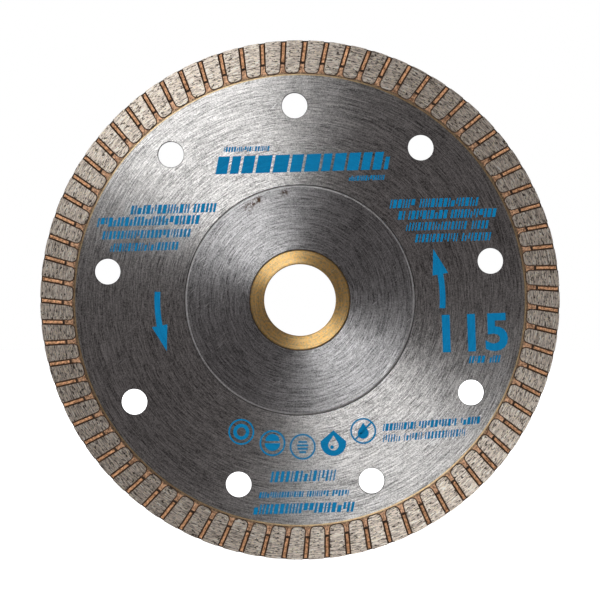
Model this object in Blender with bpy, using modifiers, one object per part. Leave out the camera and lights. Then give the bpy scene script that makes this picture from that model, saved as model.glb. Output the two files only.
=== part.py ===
"""Diamond blade for an angle grinder: turbo rim, keyed steel core, two hub flanges, reducing bush.

Every piece is drawn lying flat, about its local Z axis, and hangs on one empty, spin_axis, that
stands the blade upright. In the world the spin axis is Y, the front face looks towards -Y, Z is
up, and the origin is the centre of the bore at half the thickness. All sizes are in metres.
"""

import math

import bmesh
import bpy
from mathutils import Vector

MM = 0.001

# Rim: one sintered ring whose pads are parted by slanted grooves, pressed into both faces.
BLADE_DIAMETER = 115.0 * MM
PAD_COUNT = 75
GROOVE_WIDTH = 1.25 * MM
GROOVE_SLANT = math.radians(6.6)
FIRST_GROOVE_ANGLE = math.radians(89.2)
RIM_HEIGHT = 7.6 * MM  # outer edge to the lip that laps the core
PAD_LENGTH = 7.1 * MM
DEEP_GROOVE_LENGTH = 5.0 * MM
PAD_INNER_CORNER = 0.9 * MM
PAD_OUTER_CORNER = 0.35 * MM
INNER_CORNER_STEPS = 2
OUTER_CORNER_STEPS = 1
WEB_THICKNESS = 0.9 * MM  # metal left between a front and a rear groove
WEB_SETBACK = 0.2 * MM  # the web's edge lies this far inside the pads' outer ends
PAD_ROOT = 0.2 * MM  # how deep a pad is rooted in the web

# Core: a flat disc, thinner than the rim, with a keyed edge inside the rim.
CORE_THICKNESS = 1.2 * MM
SIDE_CLEARANCE = 0.4 * MM  # how far the pads stand out past the core on each side
LAP_WALL = 0.2 * MM  # rim metal that laps each face of the core
CORE_END_WALL = 0.45 * MM  # rim metal between the core's edge and the end of the deep grooves
KEY_COUNT = 15
KEY_WIDTH = 2.4 * MM
KEY_COVER = 0.9 * MM  # the lap hides a key notch's floor by this much
KEY_ARC_STEPS = 5
COOLING_HOLE_COUNT = 9
COOLING_HOLE_DIAMETER = 5.7 * MM
COOLING_HOLE_INSET = 14.4 * MM  # hole centres to the blade's outer edge
FIRST_COOLING_HOLE_ANGLE = math.radians(91.6)

# Hub: a thin disc brazed to each face of the core.
HUB_DIAMETER = 50.8 * MM
FLANGE_THICKNESS = 0.5 * MM
FLANGE_CHAMFER = 0.15 * MM
BOND_GAP = 0.05 * MM  # film of braze between two joined pieces

# Bore and the bush that reduces it.
CORE_BORE = 22.225 * MM
BUSH_BORE = 15.875 * MM
BUSH_CLEARANCE = 0.1 * MM
BUSH_RECESS = 0.2 * MM  # each end of the bush lies this far below its hub face
BUSH_CHAMFER = 0.2 * MM

HOLE_STEPS = 20
ROUND_STEPS = 64

# What follows from them.
OUTER_RADIUS = BLADE_DIAMETER / 2
PITCH = 2 * math.pi / PAD_COUNT
LIP_RADIUS = OUTER_RADIUS - RIM_HEIGHT
PAD_INNER_RADIUS = OUTER_RADIUS - PAD_LENGTH
GROOVE_STEP_RADIUS = OUTER_RADIUS - DEEP_GROOVE_LENGTH
SLANT_RADIUS = OUTER_RADIUS - PAD_LENGTH / 2  # where a groove crosses its nominal angle
CORE_RADIUS = GROOVE_STEP_RADIUS - CORE_END_WALL - BOND_GAP
KEY_FLOOR_RADIUS = LIP_RADIUS + KEY_COVER
COOLING_HOLE_RING = OUTER_RADIUS - COOLING_HOLE_INSET
RIM_THICKNESS = CORE_THICKNESS + 2 * SIDE_CLEARANCE
LAP_THICKNESS = CORE_THICKNESS + 2 * (BOND_GAP + LAP_WALL)
FLANGE_HEIGHT = CORE_THICKNESS / 2 + BOND_GAP + FLANGE_THICKNESS / 2
HUB_THICKNESS = CORE_THICKNESS + 2 * (BOND_GAP + FLANGE_THICKNESS)
BUSH_THICKNESS = HUB_THICKNESS - 2 * BUSH_RECESS
BUSH_DIAMETER = CORE_BORE - 2 * BUSH_CLEARANCE


# Scene helpers.

def clear_scene():
    for obj in list(bpy.data.objects):
        bpy.data.objects.remove(obj)


def new_collection(name):
    collection = bpy.data.collections.new(name)
    bpy.context.scene.collection.children.link(collection)
    return collection


def new_material(name, colour, roughness, metallic):
    material = bpy.data.materials.new(name)
    material.use_nodes = True
    shader = material.node_tree.nodes["Principled BSDF"]
    shader.inputs["Base Color"].default_value = (*colour, 1.0)
    shader.inputs["Roughness"].default_value = roughness
    shader.inputs["Metallic"].default_value = metallic
    return material


def new_object(name, data, collection, parent, height=0.0):
    """An object whose origin lies on the spin axis, this high above the middle of the blade."""
    obj = bpy.data.objects.new(name, data)
    collection.objects.link(obj)
    obj.parent = parent
    obj.location.z = height
    return obj


def make_cutter(obj):
    obj.hide_render = True
    obj.display_type = "WIRE"


def finish_piece(obj, material):
    """Gives the piece its material, and shades it smooth except across real edges."""
    obj.data.materials.clear()
    obj.data.materials.append(material)
    obj.data.shade_smooth()
    obj.data.set_sharp_from_angle(angle=math.radians(30))


# Outlines, each a list of flat points that runs counterclockwise.

def polar(radius, angle):
    return Vector((radius * math.cos(angle), radius * math.sin(angle)))


def circle(radius, steps, centre=(0.0, 0.0)):
    return [Vector(centre) + polar(radius, 2 * math.pi * i / steps) for i in range(steps)]


def rounded_corner(corner, before, after, radius, steps):
    """The points of the arc that rounds one corner of an outline."""
    back = (before - corner).normalized()
    onward = (after - corner).normalized()
    half_angle = back.angle(onward) / 2
    centre = corner + (back + onward).normalized() * (radius / math.sin(half_angle))
    start = corner + back * (radius / math.tan(half_angle)) - centre
    end = corner + onward * (radius / math.tan(half_angle)) - centre
    shares = [i / steps for i in range(steps + 1)]
    return [centre + start.slerp(end, share).normalized() * radius for share in shares]


def rounded_outline(corners, roundings):
    """The outline through these corners, each rounded by its own (radius, steps)."""
    outline = []
    for i, (corner, rounding) in enumerate(zip(corners, roundings)):
        before = corners[i - 1]
        after = corners[(i + 1) % len(corners)]
        outline += rounded_corner(corner, before, after, *rounding)
    return outline


def groove_wall(groove_angle, side, radius):
    """Where a wall of a slanted groove crosses a radius. side is -1 for its clockwise wall."""
    along = polar(1.0, groove_angle - GROOVE_SLANT)
    across = along.orthogonal() * side * GROOVE_WIDTH / 2
    start = polar(SLANT_RADIUS, groove_angle) + across
    inward = start.dot(along)
    reach = math.sqrt(inward ** 2 - start.length_squared + radius ** 2) - inward
    return start + along * reach


def pad_outline(groove_angle):
    """The pad between this groove and the next one counterclockwise."""
    next_angle = groove_angle + PITCH
    corners = [
        groove_wall(groove_angle, 1, PAD_INNER_RADIUS),
        groove_wall(groove_angle, 1, OUTER_RADIUS),
        groove_wall(next_angle, -1, OUTER_RADIUS),
        groove_wall(next_angle, -1, PAD_INNER_RADIUS),
    ]
    inner = (PAD_INNER_CORNER, INNER_CORNER_STEPS)
    outer = (PAD_OUTER_CORNER, OUTER_CORNER_STEPS)
    return rounded_outline(corners, [inner, outer, outer, inner])


def mirrored(outline):
    """The same outline seen from the other face of the blade."""
    return [Vector((-point.x, point.y)) for point in reversed(outline)]


def keyed_edge(growth):
    """The core's edge with its key notches, grown outwards by a clearance."""
    radius = CORE_RADIUS + growth
    floor_radius = KEY_FLOOR_RADIUS + growth
    key_half = KEY_WIDTH / 2 - growth
    half_angle = math.asin(key_half / radius)
    floor_half_angle = math.asin(key_half / floor_radius)
    spacing = 2 * math.pi / KEY_COUNT
    first_key_angle = FIRST_GROOVE_ANGLE + PITCH / 2
    outline = []
    for i in range(KEY_COUNT):
        angle = first_key_angle + spacing * i
        outline.append(polar(floor_radius, angle - floor_half_angle))
        outline.append(polar(floor_radius, angle + floor_half_angle))
        arc = spacing - 2 * half_angle
        for step in range(KEY_ARC_STEPS + 1):
            outline.append(polar(radius, angle + half_angle + arc * step / KEY_ARC_STEPS))
    return outline


# Solids.

def flat_solid(name, outlines, thickness, collection, parent, height=0.0):
    """A plate with this outer outline, or these, less any outline that lies inside another."""
    curve = bpy.data.curves.new(name, "CURVE")
    curve.dimensions = "2D"
    curve.fill_mode = "BOTH"
    curve.extrude = thickness / 2
    for outline in outlines:
        spline = curve.splines.new("POLY")
        spline.points.add(len(outline) - 1)
        for point, place in zip(spline.points, outline):
            point.co = (place.x, place.y, 0.0, 1.0)
        spline.use_cyclic_u = True
    drawing = new_object(name + "_drawing", curve, collection, parent, height)
    bpy.context.view_layer.update()
    graph = bpy.context.evaluated_depsgraph_get()
    mesh = bpy.data.meshes.new_from_object(drawing.evaluated_get(graph))
    bpy.data.objects.remove(drawing)
    bpy.data.curves.remove(curve)
    shape = bmesh.new()
    shape.from_mesh(mesh)
    bmesh.ops.remove_doubles(shape, verts=shape.verts, dist=0.001 * MM)
    bmesh.ops.recalc_face_normals(shape, faces=shape.faces)
    shape.to_mesh(mesh)
    shape.free()
    mesh.name = name
    return new_object(name, mesh, collection, parent, height)


def turned_solid(name, profile, steps, collection, parent, height=0.0):
    """A ring turned from a closed profile of (radius, height) that runs down its outer side."""
    mesh = bpy.data.meshes.new(name)
    edges = [(i, (i + 1) % len(profile)) for i in range(len(profile))]
    mesh.from_pydata([(radius, 0.0, z) for radius, z in profile], edges, [])
    obj = new_object(name, mesh, collection, parent, height)
    screw = obj.modifiers.new("turn", "SCREW")
    screw.axis = "Z"
    screw.steps = steps
    screw.render_steps = steps
    screw.use_merge_vertices = False
    return obj


def repeat_around_axis(obj, count):
    """Adds the other copies of a mesh, evenly round the spin axis, so that there are count in all."""
    shape = bmesh.new()
    shape.from_mesh(obj.data)
    bmesh.ops.spin(
        shape,
        geom=shape.verts[:] + shape.edges[:] + shape.faces[:],
        axis=(0.0, 0.0, 1.0),
        angle=2 * math.pi * (count - 1) / count,
        steps=count - 1,
        use_duplicate=True,
    )
    shape.to_mesh(obj.data)
    shape.free()


def add_boolean(obj, operation, other):
    boolean = obj.modifiers.new(operation.lower(), "BOOLEAN")
    boolean.operation = operation
    boolean.solver = "EXACT"
    boolean.object = other


def washer_profile(inner_radius, outer_radius, thickness, chamfer):
    """A flat ring with all four of its edges chamfered."""
    half = thickness / 2
    return [
        (inner_radius + chamfer, half),
        (outer_radius - chamfer, half),
        (outer_radius, half - chamfer),
        (outer_radius, chamfer - half),
        (outer_radius - chamfer, -half),
        (inner_radius + chamfer, -half),
        (inner_radius, chamfer - half),
        (inner_radius, half - chamfer),
    ]


# Pieces.

def build_core(collection, parent, material):
    centres = [
        polar(COOLING_HOLE_RING, FIRST_COOLING_HOLE_ANGLE + 2 * math.pi * i / COOLING_HOLE_COUNT)
        for i in range(COOLING_HOLE_COUNT)
    ]
    holes = [circle(COOLING_HOLE_DIAMETER / 2, HOLE_STEPS, centre) for centre in centres]
    outlines = [keyed_edge(0.0), circle(CORE_BORE / 2, ROUND_STEPS)] + holes
    core = flat_solid("steel_core", outlines, CORE_THICKNESS, collection, parent)
    finish_piece(core, material)


def build_hub_flange(name, height, collection, parent, material):
    profile = washer_profile(CORE_BORE / 2, HUB_DIAMETER / 2, FLANGE_THICKNESS, FLANGE_CHAMFER)
    flange = turned_solid(name, profile, ROUND_STEPS, collection, parent, height)
    finish_piece(flange, material)


def build_bush(collection, parent, material):
    profile = washer_profile(BUSH_BORE / 2, BUSH_DIAMETER / 2, BUSH_THICKNESS, BUSH_CHAMFER)
    bush = turned_solid("reducing_bush", profile, ROUND_STEPS, collection, parent)
    finish_piece(bush, material)


def rim_profile():
    """The rim without pads: a web at the deep grooves, and a thicker part that laps the core."""
    lap = LAP_THICKNESS / 2
    web = WEB_THICKNESS / 2
    edge_radius = OUTER_RADIUS - WEB_SETBACK
    return [
        (LIP_RADIUS, lap),
        (GROOVE_STEP_RADIUS, lap),
        (GROOVE_STEP_RADIUS, web),
        (edge_radius, web),
        (edge_radius, -web),
        (GROOVE_STEP_RADIUS, -web),
        (GROOVE_STEP_RADIUS, -lap),
        (LIP_RADIUS, -lap),
    ]


def build_rim(collection, cutters, parent, material):
    """The pads of the two faces are staggered by half a pitch, and slant alike seen face on."""
    pad_bottom = WEB_THICKNESS / 2 - PAD_ROOT
    pad_thickness = RIM_THICKNESS / 2 - pad_bottom
    pad_height = pad_bottom + pad_thickness / 2
    front = pad_outline(FIRST_GROOVE_ANGLE)
    rear = mirrored(pad_outline(math.pi - FIRST_GROOVE_ANGLE - PITCH / 2))
    front_pads = flat_solid("front_pads", [front], pad_thickness, cutters, parent, pad_height)
    rear_pads = flat_solid("rear_pads", [rear], pad_thickness, cutters, parent, -pad_height)
    repeat_around_axis(front_pads, PAD_COUNT)
    repeat_around_axis(rear_pads, PAD_COUNT)
    slot_thickness = CORE_THICKNESS + 2 * BOND_GAP
    core_slot = flat_solid("core_slot", [keyed_edge(BOND_GAP)], slot_thickness, cutters, parent)
    rim = turned_solid("diamond_rim", rim_profile(), PAD_COUNT, collection, parent)
    add_boolean(rim, "UNION", front_pads)
    add_boolean(rim, "UNION", rear_pads)
    add_boolean(rim, "DIFFERENCE", core_slot)
    for helper in (front_pads, rear_pads, core_slot):
        make_cutter(helper)
    finish_piece(rim, material)


def main():
    clear_scene()
    blade = new_collection("diamond_blade")
    cutters = new_collection("cutters")
    axis = new_object("spin_axis", None, blade, None)
    axis.rotation_euler.x = math.pi / 2
    brushed_steel = new_material("brushed_steel", (0.42, 0.41, 0.40), 0.35, 1.0)
    sintered_bronze = new_material("sintered_bronze", (0.36, 0.27, 0.21), 0.55, 0.9)
    brass = new_material("brass", (0.68, 0.46, 0.17), 0.32, 1.0)
    build_core(blade, axis, brushed_steel)
    build_hub_flange("front_hub_flange", FLANGE_HEIGHT, blade, axis, brushed_steel)
    build_hub_flange("rear_hub_flange", -FLANGE_HEIGHT, blade, axis, brushed_steel)
    build_rim(blade, cutters, axis, sintered_bronze)
    build_bush(blade, axis, brass)


main()
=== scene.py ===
# %% [markdown]
# # A turbo diamond blade in Blender
#
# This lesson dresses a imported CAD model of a 115 mm diamond blade: a brushed steel core with nine
# cooling holes, a raised disc round the bore, a brass reducing bush and a sintered rim whose pads
# hold the diamonds. The CAD model gives every place and size. Here each piece gets its fine shape
# and its finish.

# %% Load the frame
import math
import random

import bmesh
import bpy
from mathutils import Matrix, Vector


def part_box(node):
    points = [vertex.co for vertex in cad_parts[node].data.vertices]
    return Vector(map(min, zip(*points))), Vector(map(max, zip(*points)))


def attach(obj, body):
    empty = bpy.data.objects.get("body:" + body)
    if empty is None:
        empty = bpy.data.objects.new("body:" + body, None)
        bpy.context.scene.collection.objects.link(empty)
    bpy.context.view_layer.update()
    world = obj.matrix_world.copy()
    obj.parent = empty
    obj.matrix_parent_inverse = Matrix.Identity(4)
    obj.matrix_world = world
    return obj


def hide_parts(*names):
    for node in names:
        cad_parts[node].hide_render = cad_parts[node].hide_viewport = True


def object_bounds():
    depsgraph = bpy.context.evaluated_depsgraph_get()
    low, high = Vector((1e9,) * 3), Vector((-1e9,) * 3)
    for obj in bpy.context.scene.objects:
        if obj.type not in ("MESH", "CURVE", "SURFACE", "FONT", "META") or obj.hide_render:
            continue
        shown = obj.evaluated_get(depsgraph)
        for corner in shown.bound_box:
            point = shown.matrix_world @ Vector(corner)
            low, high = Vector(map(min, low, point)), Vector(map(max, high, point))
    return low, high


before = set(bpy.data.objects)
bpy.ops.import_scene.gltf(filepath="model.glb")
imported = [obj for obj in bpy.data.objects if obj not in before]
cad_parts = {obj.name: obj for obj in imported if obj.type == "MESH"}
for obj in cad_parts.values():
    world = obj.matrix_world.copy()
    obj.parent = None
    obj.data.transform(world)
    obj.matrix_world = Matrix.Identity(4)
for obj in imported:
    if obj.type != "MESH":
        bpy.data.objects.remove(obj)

cad_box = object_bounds()
print("CAD box:", [[round(value, 5) for value in corner] for corner in cad_box])

# %% [markdown]
# ## Sizes
#
# The boxes of the CAD pieces give the radii and thicknesses. The sizes below them can't be read from
# a box, such as the width of a groove, so they are named once here, in millimetres. The front of the
# blade looks towards -Y, so a height above the middle of the blade is a distance along -Y.

# %% Sizes from the frame, and the ones that the boxes don't hold
MM = 0.001


def cad_size(node):
    """The radius and half the thickness of a round CAD piece, and the y of its middle."""
    low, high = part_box(node)
    return high[0], (high[1] - low[1]) / 2, (high[1] + low[1]) / 2


rim_radius, rim_half, _ = cad_size("diamond_rim")
core_radius, core_half, _ = cad_size("steel_core")
hub_radius, hub_disc_half, hub_disc_y = cad_size("rear_hub_flange")
_, bush_half, _ = cad_size("reducing_bush")

pad_count = 75
pitch = 2 * math.pi / pad_count
first_groove_angle = math.radians(89.2)
groove_slant = math.radians(6.6)
groove_width = 1.25 * MM
slant_radius = 54.0 * MM
pad_length = 7.1 * MM
lip_radius = rim_radius - 7.6 * MM
deep_groove_length = 5.0 * MM
lap_half = core_half + 0.25 * MM
web_half = 0.45 * MM
web_setback = 0.04 * MM
core_bore = 22.225 / 2 * MM
bush_bore = 15.875 / 2 * MM
hole_count = 9
hole_radius = 2.85 * MM
hole_ring = rim_radius - 14.4 * MM
first_hole_angle = math.radians(91.6)
print("rim radius %.2f mm, core half thickness %.2f mm" % (rim_radius / MM, core_half / MM))

# %% [markdown]
# ## Helpers for meshes
#
# Every round piece is easiest to draw lying flat, about the Z axis, as on a lathe or a drawing board.
# `stand_up` then turns the finished mesh so that its top becomes the front of the blade. The turn is
# baked into the mesh, so each object stays at the origin, unturned.

# %% Placing and shading a mesh
STAND_UP = Matrix.Rotation(math.pi / 2, 4, "X")


def polar(radius, angle):
    return Vector((radius * math.cos(angle), radius * math.sin(angle)))


def shade(mesh, degrees=35):
    """Smooth shading on what is round. A face square to the axis stays flat, or it would look domed."""
    mesh.shade_smooth()
    mesh.set_sharp_from_angle(angle=math.radians(degrees))
    for face in mesh.polygons:
        if abs(face.normal.z) > 0.9999:
            face.use_smooth = False


def finish_mesh(shape, name, materials, degrees=35):
    """Turns the working shape into a standing mesh with its materials, and frees the shape."""
    bmesh.ops.recalc_face_normals(shape, faces=shape.faces)
    mesh = bpy.data.meshes.new(name)
    shape.to_mesh(mesh)
    shape.free()
    for material in materials:
        mesh.materials.append(material)
    shade(mesh, degrees)
    mesh.transform(STAND_UP)
    return mesh


def add_piece(name, mesh, body, *nodes):
    """An object at the origin that rides on a body and stands for these CAD nodes."""
    piece = bpy.data.objects.new(name, mesh)
    bpy.context.scene.collection.objects.link(piece)
    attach(piece, body)
    if nodes:
        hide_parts(*nodes)
    print("%s: %d faces" % (name, len(mesh.polygons)))
    return piece


# %% [markdown]
# A turned piece is one profile carried round the axis. Each stretch of the profile can have its own
# material, which is how the rim's ring gets copper floors and a dark step without a second mesh.

# %% Turned pieces
def add_turned(shape, profile, steps, slots=None):
    """A closed ring from (radius, height) points. slots gives the material of each stretch."""
    rings = []
    for step in range(steps):
        turn = Matrix.Rotation(2 * math.pi * step / steps, 3, "Z")
        rings.append([shape.verts.new(turn @ Vector((r, 0.0, h))) for r, h in profile])
    for step, ring in enumerate(rings):
        following = rings[(step + 1) % steps]
        for i in range(len(profile)):
            j = (i + 1) % len(profile)
            face = shape.faces.new((ring[j], following[j], following[i], ring[i]))
            face.material_index = slots[i] if slots else 0


def rounded_edge(radius, height, size, start, end, steps=4):
    """Points of a rounded edge whose centre is at (radius, height), between two angles."""
    turns = [math.radians(start + (end - start) * i / steps) for i in range(steps + 1)]
    return [(radius + size * math.cos(turn), height + size * math.sin(turn)) for turn in turns]


# %% [markdown]
# ## Helpers for materials
#
# Brushed and ground metal has a direction: the marks run round the axis, so the metal is smooth along
# them and rough across them. The Principled shader does this with its anisotropy, once it is told
# which way the rough direction points. Here that is straight out from the axis, worked out from the
# object coordinates, and every pattern is drawn in the same polar way.

# %% Shader helpers
def add_node(tree, kind, inputs=(), **settings):
    """Adds a node. inputs maps a socket's name or number to a value, or to an output to link."""
    node = tree.nodes.new(kind)
    for name, value in settings.items():
        setattr(node, name, value)
    for key, value in dict(inputs).items():
        if isinstance(value, bpy.types.NodeSocket):
            tree.links.new(value, node.inputs[key])
        else:
            node.inputs[key].default_value = value
    return node


def maths(tree, operation, first, second=0.0, third=0.0):
    inputs = {0: first, 1: second, 2: third}
    return add_node(tree, "ShaderNodeMath", inputs, operation=operation).outputs[0]


def vector_maths(tree, operation, first, second=(0.0, 0.0, 0.0)):
    inputs = {0: first, 1: second}
    return add_node(tree, "ShaderNodeVectorMath", inputs, operation=operation).outputs[0]


def remap(tree, value, low, high, to_low, to_high):
    inputs = {"Value": value, 1: low, 2: high, 3: to_low, 4: to_high}
    return add_node(tree, "ShaderNodeMapRange", inputs).outputs["Result"]


def tint(tree, factor, first, second, blend="MIX"):
    node = add_node(tree, "ShaderNodeMix", data_type="RGBA", blend_type=blend)
    for key, value in ((0, factor), (6, first), (7, second)):
        if isinstance(value, bpy.types.NodeSocket):
            tree.links.new(value, node.inputs[key])
        else:
            node.inputs[key].default_value = value
    return node.outputs[2]


def grey(tree, level):
    return add_node(tree, "ShaderNodeCombineXYZ", {0: level, 1: level, 2: level}).outputs[0]


def new_material(name, roughness, metallic=1.0, anisotropy=0.0):
    """A material with a Principled shader whose even values are set on its own sockets."""
    material = bpy.data.materials.new(name)
    material.use_nodes = True
    shader = material.node_tree.nodes["Principled BSDF"]
    shader.inputs["Roughness"].default_value = roughness
    shader.inputs["Metallic"].default_value = metallic
    shader.inputs["Anisotropic"].default_value = anisotropy
    return material, material.node_tree, shader


def weighted(tree, *parts):
    """A sum of (value, weight) pairs."""
    total = 0.0
    for value, weight in parts:
        total = maths(tree, "MULTIPLY_ADD", value, weight, total)
    return total


# %% Patterns that run round the axis
def round_the_axis(tree):
    """The place on the blade, its radius in millimetres and a unit direction away from the axis."""
    place = add_node(tree, "ShaderNodeTexCoord").outputs["Object"]
    flat = vector_maths(tree, "MULTIPLY", place, (1.0, 0.0, 1.0))
    length = add_node(tree, "ShaderNodeVectorMath", {0: flat}, operation="LENGTH").outputs["Value"]
    away = vector_maths(tree, "NORMALIZE", flat)
    return place, maths(tree, "MULTIPLY", length, 1000.0), away


def streaks(tree, radius, away, lines, runs, detail=3.0, seed=0.0):
    """Noise drawn out round the axis: lines per millimetre across it, runs per radian along it."""
    split = add_node(tree, "ShaderNodeSeparateXYZ", {0: away})
    across = maths(tree, "MULTIPLY", radius, lines)
    along_x = maths(tree, "MULTIPLY", split.outputs["X"], runs)
    along_z = maths(tree, "MULTIPLY", split.outputs["Z"], runs)
    place = add_node(tree, "ShaderNodeCombineXYZ", {0: across, 1: along_x, 2: along_z}).outputs[0]
    inputs = {"Vector": place, "W": seed, "Scale": 1.0, "Detail": detail, "Roughness": 0.6}
    noise = add_node(tree, "ShaderNodeTexNoise", inputs, noise_dimensions="4D")
    return noise.outputs["Fac"]


def grain(tree, place, size, detail=2.0, seed=0.0):
    """Even noise whose lumps are about this size, in millimetres."""
    inputs = {"Vector": place, "W": seed, "Scale": 1000.0 / size, "Detail": detail}
    return add_node(tree, "ShaderNodeTexNoise", inputs, noise_dimensions="4D").outputs["Fac"]


def scratches(tree, place):
    """Short light nicks from handling, in a few patches, running at a slant to the brushing."""
    turned = add_node(
        tree, "ShaderNodeVectorRotate", {"Vector": place, "Axis": (0.0, 1.0, 0.0), "Angle": 0.7},
        rotation_type="AXIS_ANGLE",
    ).outputs[0]
    drawn_out = vector_maths(tree, "MULTIPLY", turned, (0.12, 1.0, 1.0))
    lines = remap(tree, grain(tree, drawn_out, 0.22, detail=1.0, seed=12.0), 0.63, 0.67, 0.0, 1.0)
    patches = remap(tree, grain(tree, place, 6.0, detail=1.0, seed=13.0), 0.56, 0.62, 0.0, 0.8)
    return maths(tree, "MULTIPLY", lines, patches)


def brush_round(tree, shader, away, turn=0.0):
    """Points the rough direction out from the axis, or turned from that clockwise."""
    inputs = {"Vector": away, "Axis": (0.0, 1.0, 0.0), "Angle": turn}
    turned = add_node(tree, "ShaderNodeVectorRotate", inputs, rotation_type="AXIS_ANGLE")
    settings = {"vector_type": "VECTOR", "convert_from": "OBJECT", "convert_to": "WORLD"}
    world = add_node(tree, "ShaderNodeVectorTransform", {0: turned.outputs[0]}, **settings)
    tree.links.new(world.outputs[0], shader.inputs["Tangent"])


def set_bump(tree, shader, height, strength, distance):
    """distance is the depth of the marks."""
    inputs = {"Height": height, "Strength": strength, "Distance": distance}
    bump = add_node(tree, "ShaderNodeBump", inputs)
    tree.links.new(bump.outputs[0], shader.inputs["Normal"])


# %% [markdown]
# Some surfaces are never ground: the copper floors of the grooves, the braze, the bonding resin and
# the walls that a laser cut. The resin and the brown pad walls are also painted shade, darker than
# their own skin. Each is two colours in soft lumps under a fine grain, so one function makes them
# all, and only the colours, the gloss and the size of the lumps differ.

# %% A dull, unground skin
def sintered_skin(name, light, dark, roughness, metallic, anisotropy=0.0, size=0.8):
    """Two colours in lumps of a size in millimetres. With anisotropy, it is rubbed round the axis."""
    material, tree, shader = new_material(name, roughness, metallic, anisotropy)
    place, _, away = round_the_axis(tree)
    lumps = grain(tree, place, size, detail=4.0, seed=1.0)
    fine = grain(tree, place, 0.16, seed=8.0)
    mixed = weighted(tree, (lumps, 0.65), (fine, 0.35))
    colour = tint(tree, remap(tree, mixed, 0.4, 0.6, 0.0, 1.0), light, dark)
    tree.links.new(colour, shader.inputs["Base Color"])
    rough = remap(tree, fine, 0.3, 0.7, roughness - 0.08, roughness + 0.08)
    tree.links.new(rough, shader.inputs["Roughness"])
    if anisotropy:
        brush_round(tree, shader, away)
    set_bump(tree, shader, fine, 0.3, 0.04 * MM)
    return material


# %% [markdown]
# ## Brushed steel
#
# The core and the hub discs are rolled steel, ground on a turning table. Fine rings, broken into
# short runs, carry most of the look, with an even speckle between them and wider bands where the belt
# pressed harder. They only nudge the colour, the roughness and the direction of the brushing, because
# the bright and dark wedges come from the light.

# %% Brushed steel
def brushed_steel(name, colour, roughness, anisotropy, contrast, lines, runs, turn):
    """lines are per millimetre across the brushing, runs per radian along it. turn slants it."""
    material, tree, shader = new_material(name, roughness, anisotropy=anisotropy)
    place, radius, away = round_the_axis(tree)
    drift = remap(tree, grain(tree, place, 3.0, detail=1.0, seed=6.0), 0.0, 1.0, -0.3, 0.3)
    wavy = maths(tree, "ADD", radius, drift)
    fine = streaks(tree, radius, away, lines, runs)
    hair = streaks(tree, wavy, away, lines * 1.7, runs * 1.6, detail=2.0, seed=7.0)
    bands = streaks(tree, radius, away, 0.4, 2.0, seed=3.0)
    speckle = grain(tree, place, 0.25, seed=2.0)
    marks = weighted(tree, (fine, 0.55), (hair, 0.45))
    light = weighted(tree, (marks, 0.62), (bands, 0.08), (speckle, 0.30))
    level = remap(tree, light, 0.41, 0.59, 1.0 - contrast, 1.0 + contrast)
    nicks = scratches(tree, place)
    steel = tint(tree, 1.0, (*colour, 1.0), grey(tree, level), "MULTIPLY")
    nicked = tint(tree, nicks, steel, (0.86, 0.86, 0.86, 1.0))
    tree.links.new(nicked, shader.inputs["Base Color"])
    rough = remap(tree, fine, 0.3, 0.7, roughness - 0.05, roughness + 0.05)
    tree.links.new(rough, shader.inputs["Roughness"])
    brush_round(tree, shader, away, remap(tree, marks, 0.35, 0.65, turn - 0.06, turn + 0.06))
    set_bump(tree, shader, weighted(tree, (marks, 0.4), (speckle, 0.6)), 0.2, 0.05 * MM)
    return material, tree, shader, place, nicked


core_look = {
    "colour": (0.56, 0.551, 0.542),
    "roughness": 0.35,
    "anisotropy": 1.0,
    "contrast": 0.72,
    "lines": 4.2,
    "runs": 10.0,
    "turn": 0.0,
}
core_steel, *_ = brushed_steel("core_brushed_steel", **core_look)

# %% [markdown]
# The hub discs are ground separately, with a wheel that leaves longer marks and was set a little off
# the radius, so their bright wedges sit a few degrees round from the core's and are softer. The front
# disc also has a few small brown stains near its upper left edge, where coolant dried.

# %% Hub steel, plain and stained
hub_look = {
    "colour": (0.46, 0.457, 0.463),
    "roughness": 0.40,
    "anisotropy": 0.97,
    "contrast": 0.70,
    "lines": 4.2,
    "runs": 4.5,
    "turn": math.radians(6),
}
hub_steel, *_ = brushed_steel("hub_ground_steel", **hub_look)
stained_steel, tree, shader, place, clean = brushed_steel("hub_stained_steel", **hub_look)

# The x, z and size of each stain, in millimetres on the face.
stain_spots = [(-11.4, 20.6, 1.3), (-9.2, 22.1, 1.3), (-3.4, 23.8, 1.1), (-10.2, 21.5, 0.9)]
stains = 0.0
for x, z, size in stain_spots:
    spot = (x * MM, -(hub_disc_y + hub_disc_half), z * MM)
    inputs = {0: place, 1: spot}
    gap = add_node(tree, "ShaderNodeVectorMath", inputs, operation="DISTANCE").outputs["Value"]
    stains = maths(tree, "ADD", remap(tree, gap, 0.3 * size * MM, size * MM, 1.0, 0.0), stains)
blotch = remap(tree, grain(tree, place, 0.7, seed=5.0), 0.42, 0.54, 0.0, 1.0)
stained = maths(tree, "MULTIPLY", stains, blotch)
dried_brown = (0.075, 0.045, 0.03, 1.0)
tree.links.new(tint(tree, stained, clean, dried_brown), shader.inputs["Base Color"])
print("steels:", core_steel.name, hub_steel.name, stained_steel.name)
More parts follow.
